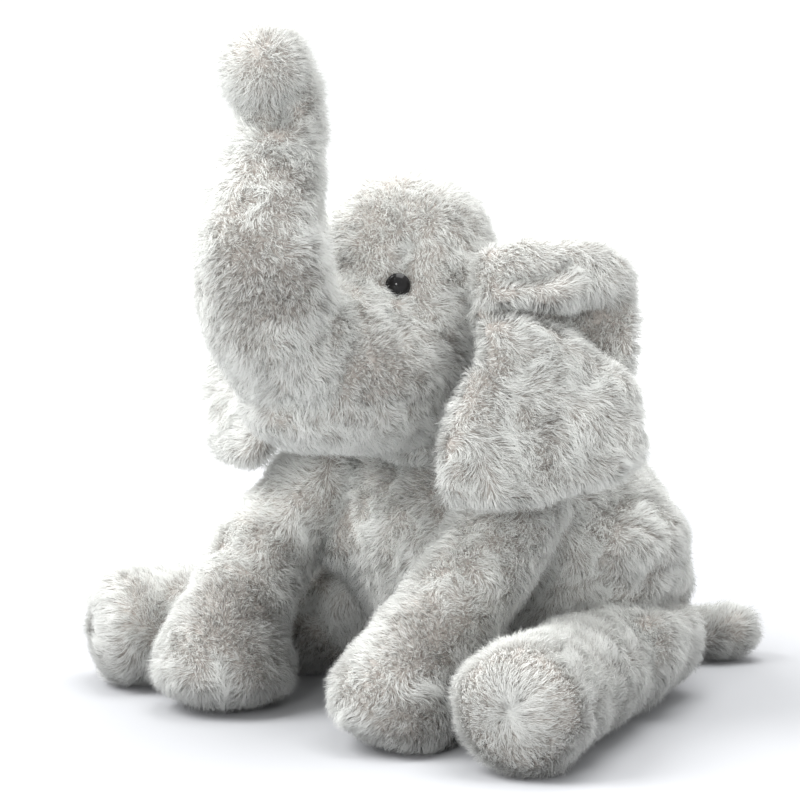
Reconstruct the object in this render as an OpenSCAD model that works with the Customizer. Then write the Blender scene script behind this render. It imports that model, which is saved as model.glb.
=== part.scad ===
// Stuffed elephant that sits on its haunches with its trunk raised.
// Millimetres, +Z up. The elephant faces -Y and its left side is +X.
// The origin is on the floor, below the middle plane and between the hips.

/* [Fabric] */
// Thickness of the plush: backing cloth with its pile pressed down
skin = 5; // [4:0.5:6]
// Gap between the plush and the filling inside it
fill_gap = 0.8; // [0.7:0.1:1]
// Gap round each limb root in its pocket
joint_gap = 0.5; // [0.4:0.1:1]

/* [Body] */
// Half width of the body at its widest
body_half_w = 92; // [86:1:95]
// Width of the belly panel
belly_w = 64; // [50:1:72]
// Height of the seat panel's edge above the floor
seat_h = 7; // [6:0.5:9]
// Radius of the pellet pouch in the seat
pouch_r = 46; // [40:1:48]
// Radius of the neck
neck_r = 42; // [40:1:43]

/* [Head] */
// Width of the strip over the crown
gusset_w = 30; // [24:1:36]
// Height of the chin panel's edge above the floor
chin_h = 150; // [146:1:156]
// Diameter of the domed face of an eye
eye_d = 12; // [10:0.5:13]

/* [Trunk] */
// Radius of the trunk's root
trunk_r = 35; // [34:0.5:35.5]
// Radius of the trunk where its upper third begins
trunk_top_r = 23; // [22.5:0.5:24]
// Radius of the upper third's root, inside the trunk
tip_root_r = 17; // [15:0.5:17.5]

/* [Ears] */
// How far the left ear lies back from square to the head, degrees
ear_sweep_left = 60; // [58:1:64]
// How far the right ear lies back from square to the head, degrees
ear_sweep_right = 15; // [12:1:20]
// How far the left ear's lower edge swings out over the shoulder, degrees
ear_tilt_left = 13; // [13:1:15]
// How far the right ear's lower edge swings out over the shoulder, degrees
ear_tilt_right = 14; // [14:1:16]
// Thickness of one layer of an ear
ear_layer = 7; // [6:0.5:8]

/* [Legs] */
// Radius of a front leg's root
shoulder_r = 26; // [24:0.5:26.5]
// How far the left front foot stands from the middle plane
front_foot_left = 46; // [44:1:56]
// How far the right front foot stands from the middle plane
front_foot_right = 67; // [64:1:69]
// Radius of a hind leg's root
hip_r = 29; // [27:0.5:30]
// Distance of the left hind sole from the middle plane
hind_foot_left = 132; // [126:1:136]
// Distance of the right hind sole from the middle plane
hind_foot_right = 150; // [149:1:152]

/* [Tail] */
// How far the tail lies to the left, degrees
tail_turn = 42; // [20:1:45]
// Length of the tail
tail_len = 76; // [60:1:80]

/* [Hidden] */
$fn = 48;

LEFT = 1;
RIGHT = -1;
big = 400;
sides = 16;
dome_angles = [26, 52, 78];
plush = "#c6c8c4";
pale_plush = "#d2d4d0";
wadding = "#f4f4ef";
cotton = "#e6e2d6";

// ---- Small helpers ----
function unit(v) = v / norm(v);
function spot(r) = [r.x, r.y, r.z];
function last(list) = list[len(list) - 1];

// The value at t of the smooth curve from b to c that also passes a and d
function between(a, b, c, d, t) =
    0.5 * (2 * b + (c - a) * t + (2 * a - 5 * b + 4 * c - d) * t * t + (3 * b - a - 3 * c + d) * t * t * t);

// A list of rings with one more ring between each two
function smoothed(r) = let (n = len(r), before = 2 * r[0] - r[1], after = 2 * r[n - 1] - r[n - 2]) [
    for (i = [0 : n - 2], t = [0, 0.5])
        between(i == 0 ? before : r[i - 1], r[i], r[i + 1], i == n - 2 ? after : r[i + 2], t),
    r[n - 1]];

function ring(c, u, v, a, b) =
    [for (i = [0 : sides - 1]) c + a * cos(360 * i / sides) * u + b * sin(360 * i / sides) * v];

// ---- The outlines, as rings: [x, y, z, half width, half depth] ----
body_rings = [
    [0, 50, 0, 58, 56], [0, 50, 7, 72, 68], [0, 48, 28, 85, 79], [0, 41, 50, body_half_w, 87],
    [0, 34, 75, 90, 86], [0, 28, 100, 84, 80], [0, 22, 120, 73, 67], [0, 14, 138, 58, 51],
    [0, 4, 152, 42, 39], [0, -2, 161, 26, 26]];
head_rings = [
    [0, -77, 133, 22, 34], [0, -80, 141, 37, 54], [0, -84, 155, 46, 66], [0, -81, 170, 49, 66],
    [0, -66, 188, 50, 59], [0, -54, 205, 50, 54], [0, -47, 222, 48, 50], [0, -45, 241, 42, 44],
    [0, -45, 255, 30, 32], [0, -45, 263, 15, 16]];
trunk_path = [
    [0, -118, 182, trunk_r, trunk_r], [0, -139, 205, 35, 34], [0, -147, 232, 33, 32],
    [0, -147, 260, 27, 27], [0, -142, 280, trunk_top_r, trunk_top_r]];
tip_path = [
    [0, -141, 287, tip_root_r, tip_root_r], [0, -139.5, 293, trunk_top_r, trunk_top_r],
    [0, -136, 307, 23, 23], [0, -137, 319, 22, 22], [0, -146, 325, 20, 20]];
tail_path = [
    [0, 0, 0, 12, 12], [0, tail_len * 0.45, 0, 13, 13], [0, tail_len - 14, 0, 15, 14]];
function front_foot(s) = s == LEFT ? [front_foot_left, -104] : [-front_foot_right, -103];
function knee_x(s) = s == LEFT ? 62 : -73;
function shin_x(s) = s == LEFT ? 54 : -71;
function front_leg(s) = let (f = front_foot(s)) [
    [s * 61, -36, 108, shoulder_r, shoulder_r], [knee_x(s), -62, 82, 27, 27],
    [shin_x(s), -88, 50, 27, 29], [f.x + s * 2, f.y + 4, 28, 33, 36], [f.x, f.y, 9, 34, 38]];
function hind_foot(s) = s == LEFT ? [hind_foot_left, -112] : [-hind_foot_right, -96];
function hind_leg(s) = let (f = hind_foot(s)) [
    [s * 88, 0, 30.5, hip_r, hip_r], [s * 57 + f.x * 0.35, f.y * 0.35, 30.5, 30, 29.5],
    [s * 26 + f.x * 0.7, f.y * 0.7, 31, 30.5, 30.5], [f.x, f.y, 31.5, 32, 32]];

// ---- The joints: pivot, the way a limb leaves its pocket, axis and travel ----
neck_pivot = [0, -14, 150];
trunk_mid = 4;
tip_pivot = spot(tip_path[0]);
shoulder_mid = -7;
hip_mid = 7;
tail_pivot = [12, 112, 16];
ear_root_r = 8;
function ear_pivot(s) = [s * 53, -40, 215];
function ear_sweep(s) = s == LEFT ? ear_sweep_left : ear_sweep_right;
function leaving(path) = unit(spot(path[1]) - spot(path[0]));

// ---- Solids from rings ----
module loft(rings) {
    n = len(rings);
    polyhedron(
        points = [for (r = rings, p = r) p],
        faces = [
            [for (i = [0 : sides - 1]) i],
            for (j = [0 : n - 2], i = [0 : sides - 1])
                let (k = (i + 1) % sides, low = j * sides, high = low + sides)
                each [[low + i, high + i, high + k], [low + i, high + k, low + k]],
            [for (i = [0 : sides - 1]) n * sides - 1 - i]]);
}

// A form of level rings, smaller all round by inset
module stacked(rings, inset = 0) {
    low = rings[0].z;
    tall = last(rings).z - low;
    loft([for (s = smoothed(rings))
        ring([s.x, s.y, low + inset + (s.z - low) * (tall - 2 * inset) / tall],
            [1, 0, 0], [0, 1, 0], s[3] - inset, s[4] - inset)]);
}

// A limb along a path, with domed ends, smaller all round by inset
module limb(path, inset = 0, dome = 1) {
    s = smoothed(path);
    n = len(s);
    way = [for (i = [0 : n - 1]) unit(spot(s[min(i + 1, n - 1)]) - spot(s[max(i - 1, 0)]))];
    across = [for (t = way) unit([1, 0, 0] - t.x * t)];
    loft([
        for (a = [-78, -52, -26]) dome_ring(s[0], way[0], across[0], inset, a, 1),
        for (i = [0 : n - 1])
            ring(spot(s[i]), across[i], cross(way[i], across[i]), s[i][3] - inset, s[i][4] - inset),
        for (a = dome_angles) dome_ring(s[n - 1], way[n - 1], across[n - 1], inset, a, dome)]);
}

// One ring of a limb's end. A dome under 1 is flatter, and its inner face keeps the same thickness.
function dome_ring(s, t, u, inset, angle, dome) = ring(
    spot(s) + t * (min(s[3], s[4]) * dome - inset) * sin(angle), u, cross(t, u),
    (s[3] - inset) * cos(angle), (s[4] - inset) * cos(angle));

// Turns children's +Z to a direction
module aim(d) rotate([0, acos(d.z / norm(d)), atan2(d.y, d.x)]) children();

// The room that a limb root of radius r needs as it swings about an axis either side of mid
module pocket(path, axis, mid, r, reach, flare) translate(spot(path[0]))
    rotate(mid, axis) aim(leaving(path)) socket(r, reach, flare);

// A round socket of radius r, open along +Z
module socket(r, reach, flare) rotate_extrude() polygon([
    for (a = [-75, -45, -15]) r / cos(15) * [cos(a), sin(a)],
    [r + flare, reach], [0, reach], [0, -r]]);

module above_floor(h = 0) translate([-big / 2, -big / 2, h]) cube(big);
module half(s) translate([s == LEFT ? 0 : -big, -big / 2, -1]) cube(big);

// ---- Body ----
module body_pockets(r) {
    for (s = [LEFT, RIGHT]) {
        pocket(front_leg(s), [1, 0, 0], shoulder_mid, shoulder_r + r, 70, 18);
        pocket(hind_leg(s), [0, 0, s], hip_mid, hip_r + r, 70, 14);
    }
    translate(tail_pivot) rotate([-90, 0, -tail_turn]) socket(12 + r, 40, 20);
}

// The haunch behind each hip, as part of the body
module haunch(s, inset) hull() {
    translate([s * 64, 52, 34]) sphere(34 - inset, $fn = 12);
    translate([s * 78, 22, 33]) sphere(33 - inset, $fn = 12);
}

module body_form(inset = 0) intersection() {
    union() {
        stacked(body_rings, inset);
        translate(neck_pivot) sphere(neck_r - inset);
        for (s = [LEFT, RIGHT]) haunch(s, inset);
    }
    above_floor(inset);
}

module body_shell() difference() {
    body_form();
    difference() {
        body_form(skin);
        body_pockets(skin + joint_gap);
    }
    body_pockets(joint_gap);
}

module seat_zone() translate([-big / 2, -big / 2, -1]) cube([big, big, 1 + seat_h]);
module belly_zone() translate([-belly_w / 2, -big, seat_h]) cube([belly_w, big + 20, 96]);

module body_panel(s) color(plush) difference() {
    intersection() {
        body_shell();
        half(s);
    }
    seat_zone();
    belly_zone();
}

module belly_panel() color(pale_plush) intersection() {
    body_shell();
    belly_zone();
}

module seat_panel() color(plush) intersection() {
    body_shell();
    seat_zone();
}

module pouch_form(grow = 0) translate([0, 50, skin + 2 * fill_gap - grow])
    cylinder(h = 20 + 2 * grow, r1 = pouch_r + grow, r2 = pouch_r - 10 + grow);

module pellet_pouch() color(cotton) pouch_form();

module body_filling() color(wadding) difference() {
    body_form(skin + fill_gap);
    body_pockets(skin + joint_gap + fill_gap);
    pouch_form(fill_gap);
}

// ---- Head ----
module head_pockets(r) {
    translate(neck_pivot) sphere(neck_r + r);
    pocket(trunk_path, [1, 0, 0], trunk_mid, trunk_r + r, 60, 12);
    for (s = [LEFT, RIGHT]) translate(ear_pivot(s)) sphere(ear_root_r + r);
}

module head_shell() difference() {
    stacked(head_rings);
    difference() {
        stacked(head_rings, skin);
        head_pockets(skin + joint_gap);
    }
    head_pockets(joint_gap);
    for (s = [LEFT, RIGHT]) at_eye(s) eye_form(0.1);
}

module gusset_zone() translate([-gusset_w / 2, -big / 2, 172]) cube([gusset_w, big, 120]);
module chin_zone() translate([-big / 2, -big / 2, 100]) cube([big, big, chin_h - 100]);

module head_panel(s) color(plush) difference() {
    intersection() {
        head_shell();
        half(s);
    }
    gusset_zone();
    chin_zone();
}

module head_gusset() color(plush) intersection() {
    head_shell();
    gusset_zone();
}

module chin_panel() color(pale_plush) intersection() {
    head_shell();
    chin_zone();
}

module head_filling() color(wadding) difference() {
    stacked(head_rings, skin + fill_gap);
    head_pockets(skin + joint_gap + fill_gap);
    for (s = [LEFT, RIGHT]) at_eye(s) {
        eye_form(fill_gap);
        washer_form(fill_gap);
    }
}

// ---- Eyes: a domed face on a shank, held behind the plush by a washer ----
shank_r = 2;
module at_eye(s) translate([s * 30, -86, 220]) rotate([0, 0, s * 39]) rotate([90, 0, 0]) children();

module eye_form(grow = 0) {
    intersection() {
        translate([0, 0, -3]) sphere(r = 7 + grow);
        translate([0, 0, -1 - grow]) cylinder(h = 8, r = eye_d / 2 + grow);
    }
    translate([0, 0, -15 - grow]) cylinder(h = 15, r = shank_r + grow);
}

module washer_form(grow = 0) translate([0, 0, -11 - grow]) cylinder(h = 1.5 + 2 * grow, r = 7 + grow);

module eye(s) color("#0c0c0c") at_eye(s) eye_form();

module eye_washer(s) color("white") at_eye(s) difference() {
    washer_form();
    translate([0, 0, -12]) cylinder(h = 8, r = shank_r + 0.05);
}

// ---- Trunk: the lower part and the curled upper third ----
module tip_root(r) translate(tip_pivot) sphere(tip_root_r + r);

module trunk_skin() color(plush) difference() {
    limb(trunk_path, 0, 0.05);
    difference() {
        limb(trunk_path, skin, 0.05);
        tip_root(skin + joint_gap);
    }
    tip_root(joint_gap);
}

module trunk_filling() color(wadding) difference() {
    limb(trunk_path, skin + fill_gap, 0.05);
    tip_root(skin + joint_gap + fill_gap);
}

module tip_end_zone() translate(spot(last(tip_path))) aim([0, -0.9, 0.44]) translate([0, 0, 50]) cube(100, center = true);

module tip_shell() difference() {
    limb(tip_path);
    limb(tip_path, skin);
}

module trunk_tip_skin() color(plush) difference() {
    tip_shell();
    tip_end_zone();
}

module trunk_tip_panel() color(pale_plush) intersection() {
    tip_shell();
    tip_end_zone();
}

module trunk_tip_filling() color(wadding) limb(tip_path, skin + fill_gap);

// ---- Ears: two layers, joined to the head by a gathered root ----
// The outline's corners in the ear's own plane: [out from the root, up from the root]
corner_r = 12;
function ear_corners(s) = s == LEFT
    ? [[-26, -94], [-8, -97], [30, -92], [54, -80], [55, -10], [49, 11], [-8, 11]]
    : [[6, -56], [22, -88], [44, -92], [58, -80], [60, -40], [46, 6], [13, 8]];
function ear_off(s) = s == LEFT ? 23 : 20;
function ear_tilt(s) = s == LEFT ? ear_tilt_left : ear_tilt_right;

// Places children with +X out along the ear, +Y up and +Z towards the ear's outer face
module at_ear(s) translate(ear_pivot(s)) mirror([s == LEFT ? 0 : 1, 0, 0])
    rotate([0, 0, ear_sweep(s)]) rotate([90 - ear_tilt(s), 0, 0]) children();

module ear_layer_form(s, from) at_ear(s) translate([0, 0, ear_off(s) + from])
    linear_extrude(ear_layer) hull() for (c = ear_corners(s)) translate(c) circle(corner_r, $fn = 24);

module ear_front(s) color(pale_plush) ear_layer_form(s, 0);

module ear_back(s) color(plush) {
    ear_layer_form(s, -ear_layer);
    difference() {
        at_ear(s) hull() {
            sphere(ear_root_r, $fn = 32);
            translate([s == LEFT ? 2 : 12, 0, ear_off(s) - 2]) sphere(ear_root_r, $fn = 32);
        }
        at_ear(s) translate([-60, -60, ear_off(s)]) cube(120);
    }
}

// ---- Front legs ----
module front_leg_form(s, inset = 0) intersection() {
    limb(front_leg(s), inset, 0.3);
    above_floor(inset);
}

module front_leg_shell(s) difference() {
    front_leg_form(s);
    front_leg_form(s, skin);
}

module front_sole_zone() translate([-big / 2, -big / 2, -1]) cube([big, big, 8]);

module front_leg_skin(s) color(plush) difference() {
    front_leg_shell(s);
    front_sole_zone();
}

module front_sole(s) color(plush) intersection() {
    front_leg_shell(s);
    front_sole_zone();
}

module front_leg_filling(s) color(wadding) front_leg_form(s, skin + fill_gap);

// ---- Hind legs ----
hind_dome = 0.35;
module hind_leg_form(s, inset = 0) intersection() {
    limb(hind_leg(s), inset, hind_dome);
    above_floor(inset);
}

module hind_leg_shell(s) difference() {
    hind_leg_form(s);
    hind_leg_form(s, skin);
}

module hind_sole_zone(s) translate(spot(last(hind_leg(s)))) aim(leaving(hind_leg(s)))
    translate([0, 0, 50]) cube(100, center = true);

module hind_leg_skin(s) color(plush) difference() {
    hind_leg_shell(s);
    hind_sole_zone(s);
}

module hind_sole(s) color(pale_plush) intersection() {
    hind_leg_shell(s);
    hind_sole_zone(s);
}

module hind_leg_filling(s) color(wadding) hind_leg_form(s, skin + fill_gap);

// ---- Tail ----
module tail_form(inset = 0) translate(tail_pivot) rotate(-tail_turn) limb(tail_path, inset);

module tail_skin() color(plush) difference() {
    tail_form();
    tail_form(skin);
}

module tail_filling() color(wadding) tail_form(skin + fill_gap);

body_panel(LEFT);  // body_panel_left
body_panel(RIGHT);  // body_panel_right
belly_panel();
seat_panel();
body_filling();
pellet_pouch();
head_panel(LEFT);  // head_panel_left
head_panel(RIGHT);  // head_panel_right
head_gusset();
chin_panel();
head_filling();
eye(LEFT);  // eye_left
eye(RIGHT);  // eye_right
eye_washer(LEFT);  // eye_washer_left
eye_washer(RIGHT);  // eye_washer_right
trunk_skin();
trunk_filling();
trunk_tip_skin();
trunk_tip_panel();
trunk_tip_filling();
ear_front(LEFT);  // ear_front_left
ear_back(LEFT);  // ear_back_left
ear_front(RIGHT);  // ear_front_right
ear_back(RIGHT);  // ear_back_right
front_leg_skin(LEFT);  // front_leg_skin_left
front_sole(LEFT);  // front_sole_left
front_leg_filling(LEFT);  // front_leg_filling_left
front_leg_skin(RIGHT);  // front_leg_skin_right
front_sole(RIGHT);  // front_sole_right
front_leg_filling(RIGHT);  // front_leg_filling_right
hind_leg_skin(LEFT);  // hind_leg_skin_left
hind_sole(LEFT);  // hind_sole_left
hind_leg_filling(LEFT);  // hind_leg_filling_left
hind_leg_skin(RIGHT);  // hind_leg_skin_right
hind_sole(RIGHT);  // hind_sole_right
hind_leg_filling(RIGHT);  // hind_leg_filling_right
tail_skin();
tail_filling();
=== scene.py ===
"""Stuffed elephant: sewn skins over wadding, under a real pile of fine strands.

Forms are worked out in millimetres, in the CAD frame, and become meshes in metres.
"""

import math

import bpy
import numpy as np
from mathutils import Matrix, Vector
from mathutils.bvhtree import BVHTree


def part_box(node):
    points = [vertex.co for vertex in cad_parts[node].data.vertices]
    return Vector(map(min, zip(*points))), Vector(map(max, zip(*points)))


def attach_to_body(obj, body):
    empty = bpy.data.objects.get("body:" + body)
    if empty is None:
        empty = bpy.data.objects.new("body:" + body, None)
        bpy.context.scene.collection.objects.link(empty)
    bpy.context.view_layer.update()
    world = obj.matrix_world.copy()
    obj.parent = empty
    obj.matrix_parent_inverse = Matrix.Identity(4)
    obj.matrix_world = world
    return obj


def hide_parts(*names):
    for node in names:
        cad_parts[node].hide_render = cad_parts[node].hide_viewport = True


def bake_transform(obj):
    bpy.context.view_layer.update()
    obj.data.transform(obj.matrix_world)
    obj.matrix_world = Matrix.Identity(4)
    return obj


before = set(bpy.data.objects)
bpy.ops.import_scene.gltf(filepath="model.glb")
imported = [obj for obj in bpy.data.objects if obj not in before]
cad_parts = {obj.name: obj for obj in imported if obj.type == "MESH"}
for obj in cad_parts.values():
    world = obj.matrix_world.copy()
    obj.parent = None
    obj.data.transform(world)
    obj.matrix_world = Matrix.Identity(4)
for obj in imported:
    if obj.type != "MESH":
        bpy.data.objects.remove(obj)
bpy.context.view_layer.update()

MM = 0.001
LEFT, RIGHT = 1, -1

# ---- Pile: the strands that make the plush, in millimetres ----
PILE_PER_MM2 = 2.6
PILE_LENGTH = 9.0
HEAD_PILE_LENGTH = 7.5
LENGTH_SPREAD = (0.75, 1.12)
PILE_WIDTH = 0.27
WIDTH_SPREAD = (0.7, 1.2)
ROOT_DEPTH = 1.0  # a strand starts this far under its skin
KNEE = 0.55  # a strand bends this far along its length
CLUMP = 3.0  # the width of a tuft
LEAN = 0.8  # how far a strand leans along its lay
TIP_LEAN = 0.3
SOLE_LEAN = 1.25
MOST_LEAN = 1.4
LENGTH_WAVE = 0.16  # how much the length drifts from place to place
LEAN_WAVE = 0.35
STRAY = 0.16  # how far a single strand strays
TUFT_PULL = 0.14  # how far the tips of a tuft meet, at least
TUFT_PULL_SPREAD = 0.3
PARTED_PULL = 0.42
PARTED_SHADE = 0.36  # painted shade: how much darker a parted strand is painted
COVERED = 3.0  # no pile grows deeper than this inside another skin
UNDERSIDE = 4.0  # no pile grows on a face that looks down, below this height
LOWEST = 0.4  # no strand reaches below this height
FLOOR_SHADE = 0.5  # painted shade: how much darker the pile is painted towards the floor
FLOOR_SHADE_HEIGHT = 95.0
# Where the pile has parted and its roots show, with painted shade on its strands; the last two spots, by
# the left eye, darken the dent above it with painted shade: x, y, z, radius
PARTED = [
    (22, -174, 226, 24), (40, -116, 186, 20), (-58, -110, 54, 22), (66, -108, 60, 18), (24, -60, 120, 18),
    (60, -120, 20, 14), (31, -85, 230, 6), (36, -78, 240, 8),
]

# ---- Looks ----
# Strand colour from root to tip: the brown-grey roots are partly the pile's own colour and partly painted
# shade deep in the pile.
PILE_COLOURS = [(0.0, (0.25, 0.216, 0.19)), (0.45, (0.83, 0.836, 0.815)), (1.0, (0.9, 0.912, 0.89))]
PILE_TONES = (0.77, 1.03)  # the darkest tuft, only near the floor where shade is painted, and the palest
PILE_THROUGH = 0.45  # how much of a strand's light passes through it
BACKING_COLOURS = ((0.3, 0.27, 0.245), (0.5, 0.47, 0.44))
WADDING_COLOURS = ((0.7, 0.69, 0.66), (0.86, 0.86, 0.84))
EYE_COLOURS = ((0.006, 0.006, 0.007), (0.012, 0.011, 0.011))
WASHER_COLOURS = ((0.7, 0.69, 0.64), (0.8, 0.79, 0.75))
POUCH_COLOURS = ((0.66, 0.64, 0.59), (0.76, 0.74, 0.69))

# ---- Skins ----
BACKING = 5.0  # a skin lies this far inside the CAD outline
WADDING_GAP = 4.0  # the wadding lies this far inside its skin
CLOTH_FRAMES = 16
EYES = [(31, -86, 221), (-31, -86, 221)]

# ---- Sewn forms, each a list of rings: x, y, z, half width, half depth ----
BODY = [
    (0, 50, 2, 56, 54), (0, 50, 8, 70, 66), (0, 48, 28, 85, 79), (0, 41, 50, 94, 89),
    (0, 35, 75, 93, 90), (0, 29, 100, 87, 84), (0, 22, 120, 75, 69), (0, 14, 138, 58, 51),
    (0, 4, 152, 42, 39), (0, -2, 161, 26, 26),
]
HEAD = [
    (0, -77, 135, 20, 32), (0, -80, 142, 38, 55), (0, -84, 155, 47, 67), (0, -81, 170, 50, 67),
    (0, -66, 188, 52, 60), (0, -54, 205, 52, 56), (0, -47, 222, 51, 53), (0, -45, 241, 45, 47),
    (0, -45, 260, 36, 37), (0, -45, 275, 18, 19),
]
TRUNK = [
    (0, -104, 170, 34, 34), (0, -118, 182, 36, 36), (0, -139, 205, 35, 34), (0, -149, 232, 35, 34),
    (0, -147, 260, 30.5, 30), (0, -142, 280, 26.5, 26), (0, -141, 287, 24, 24),
]
TIP = [
    (0, -142, 281, 23, 23), (0, -139.5, 293, 23.5, 23.5), (0, -136.5, 306, 22.5, 22.5),
    (0, -137, 316, 21, 21),
]
TIP_BALL = (0, -147, 325)
TAIL_PIVOT = Vector((12, 112, 16))
TAIL_TURN = math.radians(42)
TAIL = [(0, -4, 0, 13, 13), (0, 34, 0, 15, 15), (0, 65, 0, 17, 16)]
FRONT_LEG = {
    LEFT: [(52, -22, 122, 26, 26), (61, -36, 108, 27, 27), (62, -62, 82, 27.5, 27.5),
           (53, -88, 50, 27, 29), (46, -101, 28, 33, 36), (43, -105, 13, 34.5, 38)],
    RIGHT: [(-52, -22, 122, 26, 26), (-61, -36, 108, 27, 27), (-74, -62, 82, 27.5, 27.5),
            (-76, -88, 50, 27, 29), (-74, -99, 28, 33, 36), (-72, -103, 13, 34.5, 38)],
}
HIND_LEG = {
    LEFT: [(80, 22, 31, 29, 29), (88, 0, 30.5, 29.5, 29), (103, -39, 30.5, 30, 29.5),
           (117, -79, 31, 31.5, 31), (129, -114, 32, 34.5, 33.5)],
    RIGHT: [(-80, 22, 31, 29, 29), (-88, 0, 30.5, 29.5, 29), (-109, -35, 30.5, 30, 29.5),
            (-131, -70, 31, 31, 30.5), (-150, -100, 31.5, 33, 32)],
}
EAR_PIVOT = {LEFT: Vector((53, -40, 215)), RIGHT: Vector((-53, -40, 215))}
EAR_SWEEP = {LEFT: 60, RIGHT: 15}
EAR_TILT = {LEFT: 13, RIGHT: 14}
EAR_OFF = {LEFT: 23, RIGHT: 20}
EAR_OUTLINE = {
    LEFT: [(-22, 20), (10, 25), (46, 24), (64, 9), (67, -18), (60, -60), (58, -88), (32, -102),
           (-12, -110), (-38, -107), (-49, -94), (-46, -70), (-31, -36), (-24, -10)],
    RIGHT: [(8, 16), (28, 19), (46, 14), (58, -4), (62, -40), (58, -80), (44, -101), (22, -107),
            (1, -101), (-7, -80), (-4, -40), (0, -14)],
}


# ---- Small helpers ----
def side(s):
    return "left" if s == LEFT else "right"


def smoothstep(x):
    """0 to 1, easing in and out, as x goes from 0 to 1."""
    x = np.clip(x, 0, 1)
    return x * x * (3 - 2 * x)


def unit(v):
    return v / np.maximum(np.linalg.norm(v, axis=-1, keepdims=True), 1e-9)


def catmull(rows, steps):
    """The rows with steps - 1 more rows between each two, on a smooth curve."""
    r = np.array(rows, float)
    r = np.vstack([2 * r[0] - r[1], r, 2 * r[-1] - r[-2]])
    t = (np.arange(steps) / steps)[:, None]
    out = []
    for a, b, c, d in zip(r[:-3], r[1:-2], r[2:-1], r[3:]):
        out.append(0.5 * (2 * b + (c - a) * t + (2 * a - 5 * b + 4 * c - d) * t ** 2
                          + (3 * b - a - 3 * c + d) * t ** 3))
    return np.vstack(out + [r[-2:-1]])


def new_mesh(name, points, faces):
    """An object from points in millimetres."""
    mesh = bpy.data.meshes.new(name)
    mesh.from_pydata((np.array(points) * MM).tolist(), [], faces)
    mesh.validate()
    mesh.update()
    obj = bpy.data.objects.new(name, mesh)
    bpy.context.scene.collection.objects.link(obj)
    return obj


def ring_solid(name, centres, across, along, half_w, half_d, around=40):
    """A closed form through rings, with a point at each end."""
    a = np.linspace(0, 2 * np.pi, around, endpoint=False)
    ring = (centres[:, None] + np.cos(a)[None, :, None] * (half_w[:, None] * across)[:, None]
            + np.sin(a)[None, :, None] * (half_d[:, None] * along)[:, None])
    n = len(centres)
    points = np.vstack([ring.reshape(-1, 3), centres[:1], centres[-1:]])
    faces = []
    for j in range(n - 1):
        for i in range(around):
            k = (i + 1) % around
            low, high = j * around, (j + 1) * around
            faces.append((low + i, low + k, high + k, high + i))
    for i in range(around):
        k = (i + 1) % around
        faces.append((n * around, k, i))
        faces.append((n * around + 1, (n - 1) * around + i, (n - 1) * around + k))
    return new_mesh(name, points, faces)


def stacked(name, rings, inset):
    """A form of level rings, smaller all round by inset."""
    s = catmull(rings, 6)
    low, high = s[0, 2], s[-1, 2]
    s[:, 2] = low + inset + (s[:, 2] - low) * (high - low - 2 * inset) / (high - low)
    half = np.maximum(s[:, 3:] - inset, 2)
    return level_solid(name, s[:, :3], half[:, 0], half[:, 1], 72)


def level_solid(name, centres, half_w, half_d, around=40):
    """A closed form of level rings."""
    x = np.tile([1.0, 0, 0], (len(centres), 1))
    y = np.tile([0, 1.0, 0], (len(centres), 1))
    return ring_solid(name, centres, x, y, half_w, half_d, around)


def limb(name, path, inset, dome=(1.0, 1.0)):
    """A limb along a path, with domed ends, smaller all round by inset."""
    s = catmull(path, 6)
    s[:, 3:] -= inset
    way = unit(np.gradient(s[:, :3], axis=0))
    across = unit(np.array([1.0, 0, 0]) - way[:, :1] * way)
    rows = np.hstack([s, way, across])
    full = np.vstack([domed(rows[0], -dome[0])[::-1], rows, domed(rows[-1], dome[1])])
    along = np.cross(full[:, 5:8], full[:, 8:11])
    return ring_solid(name, full[:, :3], full[:, 8:11], along, full[:, 3], full[:, 4])


def domed(row, height):
    """More rings past an end ring, closing over; a height under 0 goes backwards."""
    part = []
    for angle in np.radians((20, 40, 60, 80)):
        rise = row[5:8] * height * min(row[3], row[4]) * math.sin(angle)
        part.append(np.hstack([row[:3] + rise, row[3:5] * math.cos(angle), row[5:]]))
    return np.array(part)


def ball(name, centre, radii):
    """An ellipsoid."""
    a = np.radians(np.linspace(-84, 84, 15))
    r = np.array(radii, float)
    c = np.array(centre, float) + np.outer(np.sin(a), [0, 0, r[2]])
    return level_solid(name, c, r[0] * np.cos(a), r[1] * np.cos(a))


def baked(obj):
    """Applies obj's modifiers."""
    dg = bpy.context.evaluated_depsgraph_get()
    mesh = bpy.data.meshes.new_from_object(obj.evaluated_get(dg))
    old = obj.data
    obj.modifiers.clear()
    obj.data = mesh
    bpy.data.meshes.remove(old)
    return obj


def merged(name, parts, voxel, smooth):
    """One closed skin from overlapping solids."""
    keep = parts[0]
    with bpy.context.temp_override(active_object=keep, selected_editable_objects=parts):
        bpy.ops.object.join()
    keep.name = name
    m = keep.modifiers.new("union", "REMESH")
    m.mode = "VOXEL"
    m.voxel_size = voxel * MM
    s = keep.modifiers.new("ease", "SMOOTH")
    s.factor = 0.5
    s.iterations = smooth
    return baked(keep)


def get_points(obj):
    """The points of obj in millimetres."""
    co = np.empty(len(obj.data.vertices) * 3, np.float32)
    obj.data.vertices.foreach_get("co", co)
    return co.reshape(-1, 3).astype(float) / MM


def set_points(obj, p):
    obj.data.vertices.foreach_set("co", (p * MM).astype(np.float32).ravel())
    obj.data.update()


def get_normals(obj):
    n = np.empty(len(obj.data.vertices) * 3, np.float32)
    obj.data.vertex_normals.foreach_get("vector", n)
    return n.reshape(-1, 3).astype(float)


def refine(obj):
    m = obj.modifiers.new("fine", "SUBSURF")
    m.levels = 1
    m.render_levels = 1
    baked(obj)


# ---- Sculpting: pushes along the normal, in millimetres ----
def push(obj, height):
    """Moves each point along its normal; height is worked out from the points."""
    p = get_points(obj)
    set_points(obj, p + get_normals(obj) * height(p)[:, None])


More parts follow.
